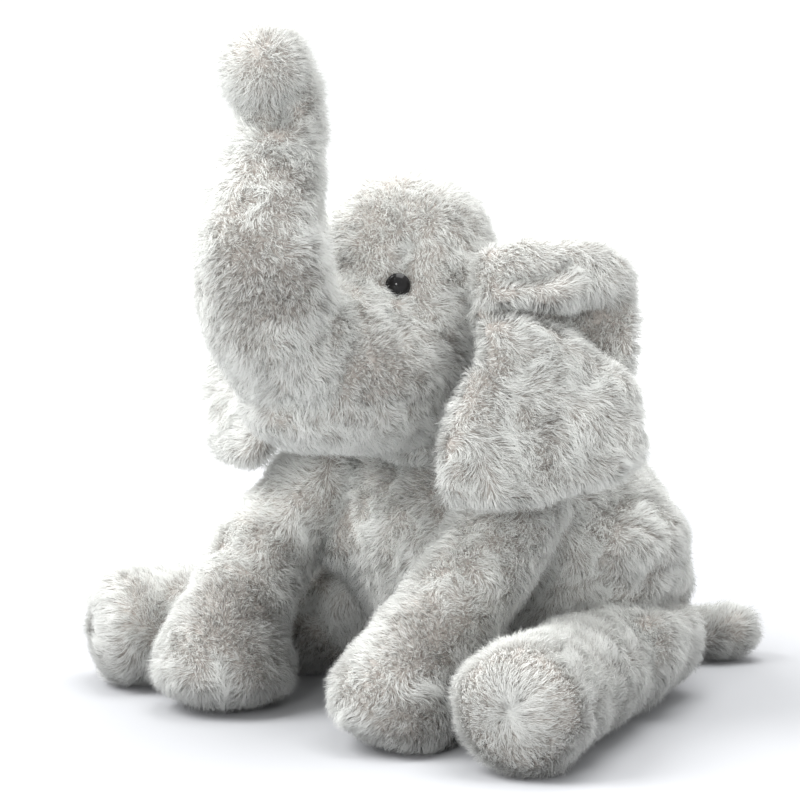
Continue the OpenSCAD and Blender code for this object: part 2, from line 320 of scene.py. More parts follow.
def dent(obj, centre, radius, depth):
    """A round dent; a depth under 0 is a bulge."""
    middle = np.array(centre, float)
    push(obj, lambda p: -depth * np.exp(-(np.linalg.norm(p - middle, axis=1) / radius) ** 2))


def line_gap(p, line):
    """How far each point is from a smooth line."""
    line = catmull(line, 6)
    best = np.full(len(p), 1e9)
    for a, b in zip(line[:-1], line[1:]):
        ab = b - a
        t = np.clip(((p - a) @ ab) / (ab @ ab), 0, 1)
        best = np.minimum(best, np.linalg.norm(p - a - t[:, None] * ab, axis=1))
    return best


def seam(obj, line, width, depth):
    """A groove along a line of points."""
    push(obj, lambda p: -depth * np.exp(-(line_gap(p, line) / width) ** 2))


def lumps(obj, seed, size, height):
    """Soft unevenness from the wadding."""
    push(obj, lambda p: height * waves(p, seed, size))


def waves(p, seed, size):
    """A smooth random field, about -1 to 1."""
    rng = np.random.default_rng(seed)
    k = rng.normal(size=(10, 3)) * (2.2 / size)
    phase = rng.uniform(0, 2 * np.pi, 10)
    return np.sin(p @ k.T + phase).sum(1) / math.sqrt(10)


def on_floor(obj, lift):
    """Flattens what would go below the floor."""
    p = get_points(obj)
    z = p[:, 2] - lift
    p[:, 2] = lift + np.where(z < 2, 2 * np.exp((np.minimum(z, 2) - 2) / 2), z)
    set_points(obj, p)


def inflate(obj, pressure, cap):
    """Fills a sewn form as its wadding does: a short cloth simulation, with the movement capped."""
    start = get_points(obj)
    m = obj.modifiers.new("fill", "CLOTH")
    s = m.settings
    s.quality = 4
    s.mass = 0.2
    s.use_pressure = True
    s.uniform_pressure_force = pressure
    s.tension_stiffness = 30
    s.compression_stiffness = 30
    s.bending_stiffness = 2
    s.effector_weights.gravity = 0
    m.collision_settings.use_collision = False
    m.point_cache.frame_start = 1
    m.point_cache.frame_end = CLOTH_FRAMES
    for f in range(1, CLOTH_FRAMES + 1):
        bpy.context.scene.frame_set(f)
    baked(obj)
    bpy.context.scene.frame_set(1)
    move = get_points(obj) - start
    size = np.linalg.norm(move, axis=1, keepdims=True)
    set_points(obj, start + move * np.minimum(1, cap / np.maximum(size, 1e-6)))


# ---- Seam lines ----
BACK_SEAM = [(0, 92, 118), (0, 120, 80), (0, 128, 46), (0, 116, 16)]
TIP_SEAM = [(-17, -148, 303), (-10, -158, 301), (0, -161, 300), (10, -158, 301), (17, -148, 303)]


def thigh_line(s):
    """Where the top of the thigh meets the side."""
    return [(s * 86, 76, 50), (s * 96, 46, 54), (s * 98, 20, 58), (s * 92, -14, 62), (s * 76, -36, 64)]


def belly_line(s):
    """The edge of the belly panel."""
    return [(s * 33, -52, 100), (s * 34, -54, 76), (s * 30, -48, 46), (s * 24, -36, 22)]


def eye_dart(s):
    """The short dart above an eye."""
    return [(s * 31, -84, 225), (s * 30, -82, 232), (s * 28, -78, 240)]


def chin_line(s):
    """The edge of the chin panel."""
    return [(s * 20, -147, 176), (s * 36, -132, 168), (s * 46, -104, 164), (s * 49, -72, 166)]


def crown_line(s):
    """The edge of the panel over the crown."""
    return [(s * 15, -84, 240), (s * 14, -60, 259), (s * 13, -30, 259), (s * 12, -2, 240)]


# ---- The sewn skins ----
def make_body():
    parts = [stacked("body_plush", BODY, BACKING)]
    for s in (LEFT, RIGHT):
        parts.append(ball("haunch", (s * 68, 50, 29), (31, 40, 27)))
        parts.append(ball("haunch", (s * 80, 20, 30), (31, 33, 28)))
        parts.append(ball("flank", (s * 62, 34, 84), (35, 50, 22)))
        parts.append(ball("shoulder", (s * 52, -18, 112), (27, 24, 26)))
        parts.append(ball("armpit", (s * 50, -34, 88), (22, 20, 24)))
    parts.append(ball("far haunch", (-82, -6, 44), (26, 26, 24)))
    body = merged("body_plush", parts, voxel=5, smooth=8)
    inflate(body, pressure=3, cap=3)
    refine(body)
    lumps(body, seed=3, size=34, height=1.2)
    for s in (LEFT, RIGHT):
        seam(body, thigh_line(s), width=5.5, depth=8)
        seam(body, belly_line(s), width=4, depth=4)
    seam(body, BACK_SEAM, width=4, depth=3)
    on_floor(body, 2)
    return body


def make_head():
    parts = [
        stacked("head_plush", HEAD, BACKING),
        ball("neck", (0, -14, 150), (37, 38, 36)),
        ball("muzzle", (0, -112, 180), (35, 32, 37)),
        ball("cheek", (22, -98, 176), (24, 36, 28)),
        ball("cheek", (-22, -98, 176), (24, 36, 28)),
        ball("bridge", (0, -106, 202), (31, 23, 20)),
    ]
    head = merged("head_plush", parts, voxel=4.5, smooth=12)
    inflate(head, pressure=3, cap=2.5)
    refine(head)
    lumps(head, seed=5, size=30, height=0.9)
    for s in (LEFT, RIGHT):
        dent(head, (s * 31, -86, 222), radius=8, depth=4)
        dent(head, (s * 33, -89, 211), radius=5, depth=-3)
        dent(head, (s * 31, -85, 230), radius=5, depth=2.5)
        seam(head, eye_dart(s), width=4, depth=6)
        seam(head, chin_line(s), width=4, depth=4)
        seam(head, crown_line(s), width=3.5, depth=1.2)
    return head


def make_trunk():
    trunk = merged("trunk_plush", [limb("trunk_plush", TRUNK, BACKING, dome=(1, 0.4))], voxel=4, smooth=5)
    inflate(trunk, pressure=3, cap=2)
    refine(trunk)
    lumps(trunk, seed=8, size=26, height=1.0)
    return trunk


def make_tip():
    stem = limb("trunk_tip_plush", TIP, BACKING, dome=(0.5, 0.8))
    end = ball("end", TIP_BALL, (19, 18.5, 19.5))
    tip = merged("trunk_tip_plush", [stem, end], voxel=3, smooth=3)
    refine(tip)
    seam(tip, TIP_SEAM, width=4.5, depth=9)
    lumps(tip, seed=9, size=20, height=0.5)
    return tip


def make_front_leg(s):
    name = "front_leg_plush_" + side(s)
    leg = merged(name, [limb(name, FRONT_LEG[s], BACKING, dome=(0.9, 0.28))], voxel=4, smooth=5)
    inflate(leg, pressure=3, cap=2)
    refine(leg)
    lumps(leg, seed=11 + s, size=26, height=1.1)
    on_floor(leg, 3)
    return leg


def make_hind_leg(s):
    name = "hind_leg_plush_" + side(s)
    leg = merged(name, [limb(name, HIND_LEG[s], BACKING, dome=(0.9, 0.46))], voxel=4, smooth=5)
    inflate(leg, pressure=3, cap=2)
    refine(leg)
    lumps(leg, seed=14 + s, size=26, height=1.1)
    end = np.array(HIND_LEG[s][-1][:3]) + 8 * hind_way(s)
    dent(leg, end, radius=10, depth=7)
    on_floor(leg, 3)
    return leg


def hind_way(s):
    """The way a hind foot points."""
    a, b = np.array(HIND_LEG[s][-2][:3]), np.array(HIND_LEG[s][-1][:3])
    return (b - a) / np.linalg.norm(b - a)


def tail_frame():
    return Matrix.Translation(TAIL_PIVOT) @ Matrix.Rotation(-TAIL_TURN, 4, "Z")


def make_tail():
    turn = tail_frame()
    rows = [(*(turn @ Vector(row[:3])), *row[3:]) for row in TAIL]
    tail = merged("tail_plush", [limb("tail_plush", rows, BACKING, dome=(1, 0.8))], voxel=2.5, smooth=4)
    refine(tail)
    on_floor(tail, 2.5)
    return tail


def ear_axes(s):
    """Out along the ear, up it, and towards its outer face."""
    a, t = math.radians(EAR_SWEEP[s]), math.radians(EAR_TILT[s])
    out = np.array([s * math.cos(a), math.sin(a), 0])
    face = np.array([s * math.sin(a), -math.cos(a), 0])
    up = np.array([0, 0, 1]) * math.cos(t) - face * math.sin(t)
    return out, up, face * math.cos(t) + np.array([0, 0, 1]) * math.sin(t)


def ear_point(s, u, v, w):
    """A place on the ear: u out from its root, v up and w out of its plane."""
    out, up, face = ear_axes(s)
    flat = np.array(EAR_PIVOT[s]) + np.multiply.outer(u, out) + np.multiply.outer(v, up)
    return flat + np.multiply.outer(w, face)


def outline_gap(points, outline):
    """How far each point is inside a closed outline; less than 0 is outside."""
    a = outline
    b = np.roll(outline, -1, axis=0)
    ab = b - a
    t = np.clip(((points[:, None] - a) * ab).sum(2) / (ab * ab).sum(1), 0, 1)
    gap = np.linalg.norm(points[:, None] - a - t[:, :, None] * ab, axis=2).min(1)
    x, y = points[:, 0:1], points[:, 1:2]
    crossing = ((a[:, 1] > y) != (b[:, 1] > y)) & (
        x < (b[:, 0] - a[:, 0]) * (y - a[:, 1]) / np.where(ab[:, 1] == 0, 1e-9, ab[:, 1]) + a[:, 0])
    inside = crossing.sum(1) % 2 == 1
    return np.where(inside, gap, -gap)


EAR_STEP = 3.0  # between the points of the ear's grid
EAR_MARGIN = 2.0
EAR_RIM_GAP = 4.0  # the rim lies this far inside the outline
EAR_RIM = 13.0  # the width of the rounded rim
EAR_THICK = 5.2  # half the ear's thickness
EAR_LEAST = 0.6  # half its thickness at the rim
# The near ear folds over: the edges of its top and low lobes and its creases, as u, v
FOLD_TOP = [(-30, -12), (0, -12), (12, -14), (31, -13), (45, -14), (63, -15), (80, -15)]
FOLD_LOW = [(-30, -14), (0, -14), (14, -19), (25, -27), (40, -39), (60, -53), (80, -66)]
EAR_CREASE = [(-26, -20), (-24, -31), (-18, -42), (-11, -57)]
TOP_CREASE = [(-16, 1), (0, 1), (12, 2), (25, 9)]
FOLD_ROOT = [(-24, -13), (-8, -13), (8, -15), (20, -20)]


def ear_fold(s, u, v):
    """How far the sewn ear's middle stands out of its plane, in millimetres."""
    if s == RIGHT:
        return 3 * np.exp(-((v + 30) / 30) ** 2)
    above = v - np.interp(u, *zip(*FOLD_TOP))
    below = np.interp(u, *zip(*FOLD_LOW)) - v
    on_top = smoothstep((above + 1) / (4 + 0.4 * np.maximum(u - 14, 0)))
    on_low = smoothstep((below + 1) / 5)
    opened = smoothstep((u + 26) / 22)
    inner = smoothstep((72 - u) / 48)
    lip = 11 * on_top * np.exp(-(np.maximum(above - 6, 0) / 26) ** 2) * opened * inner
    pocket = -13 * (1 - on_top) * (1 - on_low) * opened * inner
    lobe = on_low * (3 + 6 * np.exp(-np.maximum(below, 0) / 22) + 3 * np.exp(-((v + 75) / 28) ** 2))
    return lip + pocket + lobe + 2 * waves(np.stack([u, v * 1.6, 0 * u], 1), 77, 22) * (1 - on_low)


def make_ear(s):
    name = "ear_plush_" + side(s)
    ear = merged(name, [ear_sheet(name, s), ear_root(s)], voxel=2.6, smooth=3)
    inflate(ear, pressure=2, cap=1.5)
    refine(ear)
    if s == LEFT:
        seam(ear, ear_line(s, EAR_CREASE, 6), width=4.5, depth=11)
        seam(ear, ear_line(s, FOLD_ROOT, 6), width=4.5, depth=9)
        seam(ear, ear_line(s, TOP_CREASE, 16), width=4, depth=4)
    lumps(ear, seed=20 + s, size=24, height=0.8)
    return ear


def ear_sheet(name, s):
    """The ear as two sheets with a rounded rim, on a grid cut to the ear's outline."""
    outline = catmull(EAR_OUTLINE[s] + EAR_OUTLINE[s][:1], 6)[:-1]
    low, high = outline.min(0) - EAR_MARGIN, outline.max(0) + EAR_MARGIN
    us = np.arange(low[0], high[0], EAR_STEP)
    vs = np.arange(low[1], high[1], EAR_STEP)
    u, v = np.tile(us, len(vs)), np.repeat(vs, len(us))
    gap = outline_gap(np.stack([u, v], 1), outline) - EAR_RIM_GAP
    bulge = np.sqrt(np.clip(1 - (1 - np.clip(gap / EAR_RIM, 0, 1)) ** 2, 0, 1))
    thick = EAR_THICK * bulge + EAR_LEAST
    stand = EAR_OFF[s] + ear_fold(s, u, v)
    flat, face = ear_point(s, u, v, 0), ear_axes(s)[2]
    front = flat + np.outer(stand + thick, face)
    back = flat + np.outer(stand - thick, face)
    faces = sheet_faces((gap > 0).reshape(len(vs), len(us)))
    sheet = new_mesh(name, np.vstack([front, back]), faces)
    if s == RIGHT:
        sheet.data.flip_normals()
    return sheet


def sheet_faces(keep):
    """Faces of a front sheet, a back sheet and the rim between them, where keep is true."""
    n, columns = keep.size, keep.shape[1]
    faces, edges = [], {}
    for j, i in np.argwhere(keep[:-1, :-1] & keep[1:, :-1] & keep[:-1, 1:] & keep[1:, 1:]).tolist():
        a = j * columns + i
        b, c, d = a + 1, a + 1 + columns, a + columns
        faces.append((a, b, c, d))
        faces.append((n + d, n + c, n + b, n + a))
        for e in ((a, b), (b, c), (c, d), (d, a)):
            if edges.pop((e[1], e[0]), None) is None:
                edges[e] = True
    faces.extend((b, a, n + a, n + b) for a, b in edges)
    return faces


def ear_line(s, points, stand):
    """A line on the ear, standing out of its plane."""
    return [ear_point(s, u, v, EAR_OFF[s] + stand) for u, v in points]


def ear_root(s):
    """The gathered root that the ear is sewn on by."""
    u = 2 if s == LEFT else 12
    a, b = ear_point(s, 0, 0, 0), ear_point(s, u, -2, EAR_OFF[s])
    rows = []
    for t in (0, 0.5, 1):
        c = a + (b - a) * t
        rows.append((c[0], c[1], c[2], 13, 13 + 6 * t))
    return limb("ear_root", rows, 3)


# ---- Materials ----
def material(name, colour, rough=0.9):
    m = bpy.data.materials.new(name)
    m.use_nodes = True
    tree = m.node_tree
    tree.nodes.clear()
    out = tree.nodes.new("ShaderNodeOutputMaterial")
    shader = tree.nodes.new("ShaderNodeBsdfPrincipled")
    shader.inputs["Base Color"].default_value = (*colour, 1)
    shader.inputs["Roughness"].default_value = rough
    tree.links.new(shader.outputs[0], out.inputs[0])
    return m, tree, shader


def object_space(tree):
    return tree.nodes.new("ShaderNodeTexCoord").outputs["Object"]


def add_noise(tree, scale, detail=4):
    """Noise in the object's own space."""
    noise = tree.nodes.new("ShaderNodeTexNoise")
    noise.inputs["Scale"].default_value = scale
    noise.inputs["Detail"].default_value = detail
    tree.links.new(object_space(tree), noise.inputs["Vector"])
    return noise.outputs["Fac"]


def spread_over(tree, value, low, high):
    """The value, which runs from 0 to 1, moved to run from low to high."""
    spread = tree.nodes.new("ShaderNodeMapRange")
    spread.inputs["To Min"].default_value = low
    spread.inputs["To Max"].default_value = high
    tree.links.new(value, spread.inputs["Value"])
    return spread.outputs["Result"]


def graded(tree, value, stops):
    """Colours by value, from stops of place and colour in order."""
    ramp = tree.nodes.new("ShaderNodeValToRGB")
    marks = ramp.color_ramp.elements
    while len(marks) < len(stops):
        marks.new(0.5)
    for mark, (place, colour) in zip(marks, stops):
        mark.position = place
        mark.color = (*colour, 1)
    tree.links.new(value, ramp.inputs["Fac"])
    return ramp.outputs["Color"]


def two_tone(tree, shader, value, colours, places=(0.3, 0.7)):
    """A base colour that varies between two."""
    colour = graded(tree, value, list(zip(places, colours)))
    tree.links.new(colour, shader.inputs["Base Color"])


def add_bump(tree, shader, value, strength, distance):
    bump = tree.nodes.new("ShaderNodeBump")
    bump.inputs["Strength"].default_value = strength
    bump.inputs["Distance"].default_value = distance
    tree.links.new(value, bump.inputs["Height"])
    tree.links.new(bump.outputs["Normal"], shader.inputs["Normal"])


def add_wear(tree, shader, value, low, high):
    """Roughness that varies over the surface."""
    tree.links.new(spread_over(tree, value, low, high), shader.inputs["Roughness"])


def strand_value(tree, name):
    """A value that each strand carries."""
    node = tree.nodes.new("ShaderNodeAttribute")
    node.attribute_name = name
    return node.outputs["Fac"]


def pile_material():
    """Strands: brown-grey roots, partly painted shade, to pale grey tips, with each tuft a little
    different.
    """
    m, tree, shader = material("long_pile", (0.6, 0.6, 0.58))
    shader.inputs["Sheen Weight"].default_value = 0.25
    shader.inputs["Sheen Roughness"].default_value = 0.5
    shader.inputs["Specular IOR Level"].default_value = 0.25
    tint = tree.nodes.new("ShaderNodeMix")
    tint.data_type = "RGBA"
    tint.blend_type = "MULTIPLY"
    tint.inputs["Factor"].default_value = 1
    tree.links.new(graded(tree, strand_value(tree, "along"), PILE_COLOURS), tint.inputs["A"])
    tree.links.new(spread_over(tree, strand_value(tree, "tone"), *PILE_TONES), tint.inputs["B"])
    tree.links.new(tint.outputs["Result"], shader.inputs["Base Color"])
    through = tree.nodes.new("ShaderNodeBsdfTranslucent")
    both = tree.nodes.new("ShaderNodeMixShader")
    both.inputs["Fac"].default_value = PILE_THROUGH
    tree.links.new(tint.outputs["Result"], through.inputs["Color"])
    tree.links.new(shader.outputs[0], both.inputs[1])
    tree.links.new(through.outputs[0], both.inputs[2])
    out = next(x for x in tree.nodes if x.type == "OUTPUT_MATERIAL")
    tree.links.new(both.outputs[0], out.inputs[0])
    return m


def backing_material():
    """The knitted cloth that the pile grows from."""
    m, tree, shader = material("plush_backing", (0.4, 0.37, 0.34), 0.95)
    knit = add_noise(tree, 420)
    two_tone(tree, shader, knit, BACKING_COLOURS, (0.35, 0.7))
    add_bump(tree, shader, knit, strength=0.5, distance=0.0006)
    return m


def wadding_material():
    """Loose polyester fibre: off-white and matted."""
    m, tree, shader = material("polyester_wadding", (0.8, 0.8, 0.78), 0.95)
    shader.inputs["Sheen Weight"].default_value = 0.3
    two_tone(tree, shader, add_noise(tree, 90, 6), WADDING_COLOURS)
    add_bump(tree, shader, add_noise(tree, 240, 8), strength=0.8, distance=0.002)
    return m


def eye_material():
    """Polished black plastic, with faint handling marks."""
    m, tree, shader = material("black_plastic", (0.008, 0.008, 0.009), 0.1)
    shader.inputs["Specular IOR Level"].default_value = 0.2
    two_tone(tree, shader, add_noise(tree, 60), EYE_COLOURS)
    add_wear(tree, shader, add_noise(tree, 700), low=0.06, high=0.16)
    return m


def washer_material():
    """Moulded nylon of the locking washers."""
    m, tree, shader = material("white_nylon", (0.75, 0.74, 0.7), 0.4)
    two_tone(tree, shader, add_noise(tree, 120), WASHER_COLOURS)
    add_wear(tree, shader, add_noise(tree, 500), low=0.3, high=0.5)
    add_bump(tree, shader, add_noise(tree, 900), strength=0.3, distance=0.0003)
    return m


def pouch_material():
    """Plain woven cotton, with its threads as a bump."""
    m, tree, shader = material("woven_cotton", (0.72, 0.7, 0.65), 0.9)
    wave = tree.nodes.new("ShaderNodeTexWave")
    wave.bands_direction = "DIAGONAL"
    wave.inputs["Scale"].default_value = 300
    tree.links.new(object_space(tree), wave.inputs["Vector"])
    two_tone(tree, shader, add_noise(tree, 200), POUCH_COLOURS)
    add_bump(tree, shader, wave.outputs["Fac"], strength=0.5, distance=0.0004)
    return m


# ---- Pile ----
def face_data(obj):
    """The triangles of obj, its points and normals, and the area of each triangle."""
    mesh = obj.data
    mesh.calc_loop_triangles()
    t = np.empty(len(mesh.loop_triangles) * 3, np.int32)
    mesh.loop_triangles.foreach_get("vertices", t)
    t = t.reshape(-1, 3)
    p, n = get_points(obj), get_normals(obj)
    area = np.linalg.norm(np.cross(p[t[:, 1]] - p[t[:, 0]], p[t[:, 2]] - p[t[:, 0]]), axis=1) / 2
    return t, p, n, area


def tree_of(obj):
    """The faces of obj for finding the nearest one, in millimetres."""
    p = get_points(obj)
    return BVHTree.FromPolygons([Vector(v) for v in p], [tuple(f.vertices) for f in obj.data.polygons])


def buried(centres, others, depth):
    """Which points lie deeper than depth inside one of the other skins."""
    hidden = np.zeros(len(centres), bool)
    for tree, low, high in others:
        near = np.where(((centres > low) & (centres < high)).all(1) & ~hidden)[0]
        for i in near:
            spot, normal, _, _ = tree.find_nearest(Vector(centres[i]))
            if (Vector(centres[i]) - spot).dot(normal) < -depth:
                hidden[i] = True
    return hidden


def root_spots(obj, others, rng):
    """Places and normals spread evenly over obj, but for what is covered or faces the floor."""
    tri, p, n, area = face_data(obj)
    centre = p[tri].mean(1)
    area = np.where(buried(centre, others, COVERED), 0, area)
    area = np.where((centre[:, 2] < UNDERSIDE) & (n[tri].mean(1)[:, 2] < -0.6), 0, area)
    count = int(area.sum() * PILE_PER_MM2)
    pick = np.searchsorted(np.cumsum(area) / area.sum(), rng.random(count))
    a, b = rng.random(count), rng.random(count)
    flip = a + b > 1
    a[flip], b[flip] = 1 - a[flip], 1 - b[flip]
    w = np.stack([1 - a - b, a, b], 1)[:, :, None]
    return (p[tri[pick]] * w).sum(1), unit((n[tri[pick]] * w).sum(1))


def swirled(lay, root, normal, free, seed):
    """The way the pile lies, along the skin, turned here and there as handling leaves it."""
    turn = (0.9 * waves(root, seed + 1, 16) + 0.5 * waves(root, seed + 2, 7)) * (0.15 + 0.85 * free)
    lay = unit(lay - (lay * normal).sum(1, keepdims=True) * normal)
    return lay * np.cos(turn)[:, None] + np.cross(normal, lay) * np.sin(turn)[:, None]


def parted(p, seed):
    """How far the pile has opened at each point, 0 to 1."""
    opened = 0.8 * smoothstep(waves(p, seed + 9, 15) * 0.85 - 0.36)
    for x, y, z, r in PARTED:
        near = np.exp(-((p - [x, y, z]) ** 2).sum(1) / r ** 2)
        spot = smoothstep(near * 1.5 + 0.25 * waves(p, seed + 8, 9))
        opened = np.maximum(opened, spot * (near > 0.05))
    return opened


def tufts(root, seed):
    """The number of the tuft that each strand is in."""
    drift = np.stack([waves(root, seed + 5 + i, 4) for i in range(3)], 1)
    cell = np.floor((root + 1.6 * drift) / CLUMP)
    key = (cell[:, 0] * 4001 + cell[:, 1]) * 4001 + cell[:, 2]
    return np.unique(key, return_inverse=True)[1]


def grow_pile(obj, seed, comb, others, length=PILE_LENGTH, trim=None, slant=LEAN, calm=None):
    """Strands all over obj, but for what lies inside other skins.

    comb gives the lay at each place, trim the share of the length that is left there, and calm how free
    the strands are to stand up.
    """
    rng = np.random.default_rng(seed)
    root, normal = root_spots(obj, others, rng)
    count = len(root)
    free = np.ones(count) if calm is None else calm(root)
    cut = np.ones(count) if trim is None else trim(root)
    lay = swirled(comb(root), root, normal, free, seed)
    long = length * (1 + LENGTH_WAVE * waves(root, seed + 3, 9))
    long *= rng.uniform(*LENGTH_SPREAD, count) * cut
    parting = parted(root, seed) * free
    lean = slant * (1 - 0.75 * parting) * (1 + LEAN_WAVE * waves(root, seed + 4, 12))
    lean += rng.normal(0, 0.08, count)
    lean = np.clip(lean * free * cut + SOLE_LEAN * (1 - free), 0, MOST_LEAN)[:, None]
    stray = rng.normal(0, STRAY, (count, 3))
    out = unit(normal + stray)
    base = root - normal * ROOT_DEPTH
    knee = base + unit(out + lay * lean * 0.5) * long[:, None] * KNEE
    end = base + unit(out + lay * lean + stray) * long[:, None]
    group = tufts(root, seed)
    size = np.bincount(group)
    middle = np.stack([np.bincount(group, end[:, i]) / size for i in range(3)], 1)[group]
    pull = TUFT_PULL + TUFT_PULL_SPREAD * rng.random(len(size))[group] + PARTED_PULL * parting
    end = end + (middle - end) * pull[:, None]
    knee = knee + (middle - end) * 0.12
    tone = 0.5 * rng.random(len(size))[group] + 0.5 * rng.random(count)
    # Painted shade: each tuft is painted darker the nearer its root is to the floor.
    tone = 0.5 + 0.5 * tone - FLOOR_SHADE * smoothstep((FLOOR_SHADE_HEIGHT - root[:, 2]) / FLOOR_SHADE_HEIGHT)
    # Painted shade: parted, trimmed and calmed strands stay darker towards their tips, so the opened pile,
    # the seams, creases and the pile round the eyes, and the hind soles read darker.
    reach = (1 - PARTED_SHADE * parting) * (0.35 + 0.65 * cut) * (0.78 + 0.22 * free)
    return strands(obj.name.replace("plush", "pile"), base, knee, end, normal, tone, reach, rng)


def strands(name, base, knee, end, normal, tone, reach, rng):
    """One mesh of tapered blades, each with a bend; reach is how pale a blade gets by its tip, held lower
    where shade is painted.
    """
    count = len(base)
    way = unit(end - base)
    flat = unit(np.cross(way, normal + rng.normal(0, 0.45, (count, 3))))
    half = flat * (PILE_WIDTH * rng.uniform(*WIDTH_SPREAD, count) / 2)[:, None]
    points = np.stack([base - half, base + half, knee - half * 0.8, knee + half * 0.8, end], 1)
    points[:, :, 2] = np.maximum(points[:, :, 2], LOWEST)
    mesh = blade_mesh(name, points)
    rise = np.array([0, 0, 0.6, 0.6, 1.0]) * reach[:, None]
    carry(mesh, "along", rise.ravel())
    carry(mesh, "tone", np.repeat(tone, 5))
    soft = unit(np.repeat(normal, 5, axis=0) * 0.8 + np.repeat(np.cross(flat, way), 5, axis=0) * 0.35)
    mesh.shade_smooth()
    mesh.normals_split_custom_set_from_vertices(soft.astype(np.float32).tolist())
    obj = bpy.data.objects.new(name, mesh)
    bpy.context.scene.collection.objects.link(obj)
    return obj


def blade_mesh(name, points):
    """A quad and a tip for each blade, from its five points in millimetres."""
    count = len(points)
    k = np.arange(count)[:, None] * 5
    quads = k + [0, 1, 3, 2]
    tips = k + [2, 3, 4]
    corners = np.concatenate([quads.ravel(), tips.ravel()])
    starts = np.concatenate([np.arange(count) * 4, quads.size + np.arange(count) * 3])
    mesh = bpy.data.meshes.new(name)
    mesh.vertices.add(count * 5)
    mesh.vertices.foreach_set("co", (points * MM).astype(np.float32).ravel())
    mesh.loops.add(len(corners))
    mesh.loops.foreach_set("vertex_index", corners.astype(np.int32))
    mesh.polygons.add(len(starts))
    mesh.polygons.foreach_set("loop_start", starts.astype(np.int32))
    mesh.update(calc_edges=True)
    return mesh


def carry(mesh, name, values):
    """Stores a value at each point for the material."""
    attribute = mesh.attributes.new(name, "FLOAT", "POINT")
    attribute.data.foreach_set("value", values.astype(np.float32))


def flow_along(direction):
    """Combed one way all over."""
    d = np.array(direction, float)
    return lambda p: np.tile(d / np.linalg.norm(d), (len(p), 1))


def flow_limb(path, sole=None):
    """Combed down a limb; further past its end than sole, in towards the middle of the sole."""
    rows = catmull(path, 4)[:, :3]
    way = unit(np.gradient(rows, axis=0))

    def comb(p):
        near = np.linalg.norm(p[:, None] - rows[None], axis=2).argmin(1)
        d = way[near]
        if sole is None:
            return d
        past = ((p - rows[-1]) @ way[-1])[:, None]
        inward = unit(rows[-1] + way[-1] * 10 - p)
        return np.where(past > sole, inward, d)

    return comb


def shorter(*lines, width=4.0, low=0.45):
    """Short pile along sewn lines."""
    def trim(p):
        gap = np.min([line_gap(p, line) for line in lines], axis=0)
        return low + (1 - low) * smoothstep(gap / width - 0.3)

    return trim


def head_trim(p):
    """Short pile round the eyes and along the seams of the head."""
    lids = np.array([1, 1, 1.45])
    d = np.min([np.linalg.norm((p - np.array(e)) * lids, axis=1) for e in EYES], axis=0)
    lines = [f(s) for s in (LEFT, RIGHT) for f in (eye_dart, chin_line)]
    return (0.2 + 0.8 * smoothstep((d - 4.5) / 7)) * shorter(*lines)(p)


def ear_trim(s):
    """Short pile in the near ear's creases."""
    if s == RIGHT:
        return None
    creases = [ear_line(s, EAR_CREASE, 2), ear_line(s, FOLD_ROOT, 2), ear_line(s, TOP_CREASE, 16)]
    edges = [ear_line(s, FOLD_TOP[1:-2], 0), ear_line(s, FOLD_LOW[1:-1], 0)]
    return shorter(*creases, *edges, width=5, low=0.35)


def off_sole(s):
    """Keeps the gathered pile of a hind sole closed."""
    end = np.array(HIND_LEG[s][-1][:3])
    return lambda p: smoothstep((-((p - end) @ hind_way(s)) + 4) / 8)


# ---- Assembly: each piece has a key, such as head or front_leg_left ----
def make_skins():
    found = {"body": make_body(), "head": make_head(), "trunk": make_trunk()}
    found["trunk_tip"] = make_tip()
    found["tail"] = make_tail()
    for s in (LEFT, RIGHT):
        found["front_leg_" + side(s)] = make_front_leg(s)
        found["hind_leg_" + side(s)] = make_hind_leg(s)
        found["ear_" + side(s)] = make_ear(s)
    return found


def grow_piles(skins):
    """The pile of each skin, kept out of the skins beside it."""
    looked_at = {}
    for key, skin in skins.items():
        p = get_points(skin)
        looked_at[key] = (tree_of(skin), p.min(0), p.max(0))

    def grow(key, seed, comb, beside, **how):
        return grow_pile(skins[key], seed, comb, [looked_at[k] for k in beside], **how)

    legs = ["front_leg_left", "front_leg_right", "hind_leg_left", "hind_leg_right"]
    lines = [f(s) for s in (LEFT, RIGHT) for f in (thigh_line, belly_line)]
    body_trim = shorter(BACK_SEAM, *lines, width=8, low=0.3)
    found = {
        "body": grow("body", 101, flow_along((0, -0.15, -1)), legs + ["head"], trim=body_trim),
        "head": grow("head", 202, flow_along((0, 0.35, -1)), ["trunk", "body"], trim=head_trim,
                     length=HEAD_PILE_LENGTH),
        "trunk": grow("trunk", 303, flow_along((0, -0.2, -1)), ["head", "trunk_tip"]),
        "trunk_tip": grow("trunk_tip", 404, flow_along((0, -0.2, -1)), ["trunk"], slant=TIP_LEAN,
                          trim=shorter(TIP_SEAM)),
        "tail": grow("tail", 505, flow_along((0.6, 0.7, -0.2)), ["body"]),
    }
    for s in (LEFT, RIGHT):
        front, hind, ear = "front_leg_" + side(s), "hind_leg_" + side(s), "ear_" + side(s)
        out, up, _ = ear_axes(s)
        found[front] = grow(front, 606 + s, flow_limb(FRONT_LEG[s]), ["body"])
        found[hind] = grow(hind, 707 + s, flow_limb(HIND_LEG[s], 3), ["body"], calm=off_sole(s))
        found[ear] = grow(ear, 808 + s, flow_along(out * 0.6 - up * 0.8), ["head"], trim=ear_trim(s))
    return found


